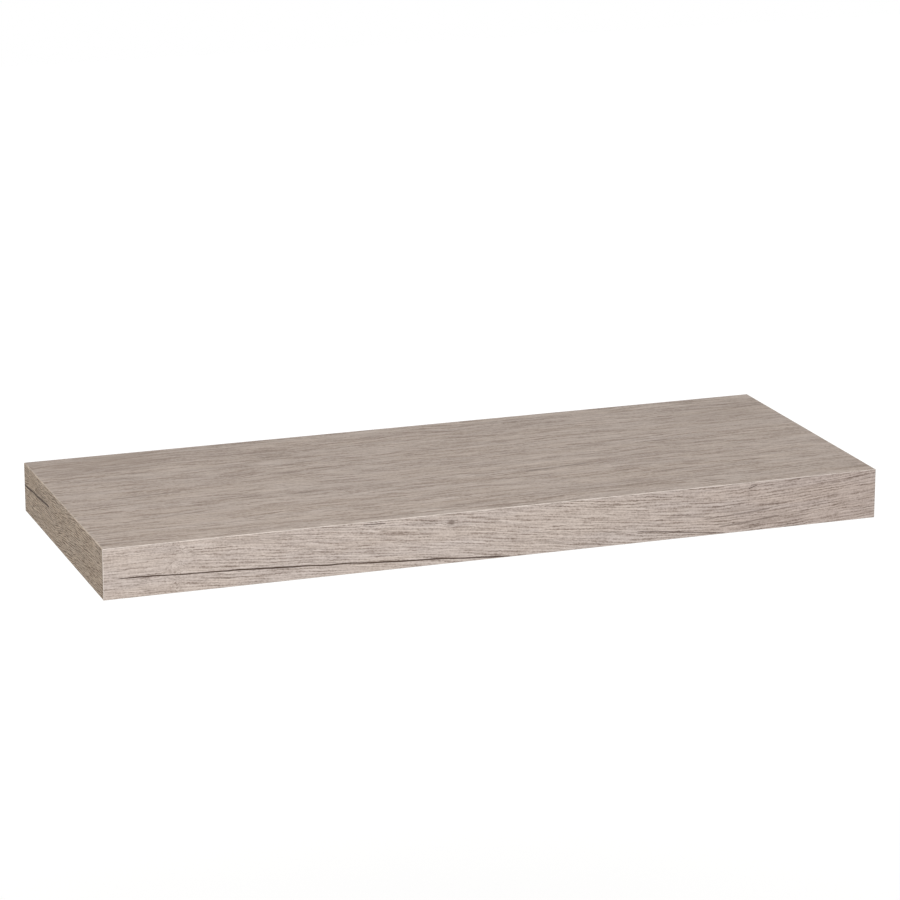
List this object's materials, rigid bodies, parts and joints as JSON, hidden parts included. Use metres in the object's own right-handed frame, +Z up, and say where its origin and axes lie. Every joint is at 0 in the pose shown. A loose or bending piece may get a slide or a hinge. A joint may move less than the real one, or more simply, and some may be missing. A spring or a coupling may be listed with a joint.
{
  "type": "floating wall shelf",
  "caption": "Straight rectangular hollow-core wall shelf with printed weathered grey oak foil, carried on rods of a hidden steel wall bar.",
  "frame": {"origin": "on the wall, in the middle of the wall bar's back face, at the height of the rods and of the board's mid-thickness", "axes": "+X along the board to the viewer's right, +Y into the wall, +Z up"},
  "size_m": [0.6, 0.28, 0.038],
  "materials": {
    "grey_oak_foil": "matt printed grey oak foil",
    "grey_oak_edging": "matt embossed grey oak edging",
    "brown_fibreboard": "raw sawn edge",
    "particleboard": "raw sawn edge",
    "kraft_paper": "raw kraft paper",
    "zinc_plated_steel": "bright zinc plate",
    "yellow_zinc_steel": "yellow passivated zinc",
    "zinc_alloy": "tumbled zinc alloy",
    "black_steel": "black oxide",
    "grey_nylon": "moulded nylon"
  },
  "bodies": {
    "wall_bracket": {"wall_bar": "zinc_plated_steel", "left_rod": "zinc_plated_steel", "right_rod": "zinc_plated_steel", "wall_screws": "yellow_zinc_steel", "wall_plugs": "grey_nylon"},
    "shelf_board": {"top_decor_foil": "grey_oak_foil", "bottom_decor_foil": "grey_oak_foil", "front_edge_band": "grey_oak_edging", "left_edge_band": "grey_oak_edging", "right_edge_band": "grey_oak_edging", "top_panel": "brown_fibreboard", "bottom_panel": "brown_fibreboard", "front_rail": "particleboard", "back_rail": "particleboard", "left_end_rail": "particleboard", "right_end_rail": "particleboard", "left_cross_rail": "particleboard", "right_cross_rail": "particleboard", "honeycomb_left": "kraft_paper", "honeycomb_centre": "kraft_paper", "honeycomb_right": "kraft_paper", "left_lock_insert": "zinc_alloy", "right_lock_insert": "zinc_alloy"},
    "left_lock": {"left_locking_screw": "black_steel"},
    "right_lock": {"right_locking_screw": "black_steel"}
  },
  "joints": [
    {"name": "board_slide", "type": "slide", "parent": "wall_bracket", "child": "shelf_board", "axis": [0, -1, 0], "range_m": [0, 0.16]},
    {"name": "left_lock_travel", "type": "slide", "parent": "shelf_board", "child": "left_lock", "axis": [0, 0, -1], "range_m": [0, 0.01]},
    {"name": "right_lock_travel", "type": "slide", "parent": "shelf_board", "child": "right_lock", "axis": [0, 0, -1], "range_m": [0, 0.01]}
  ]
}
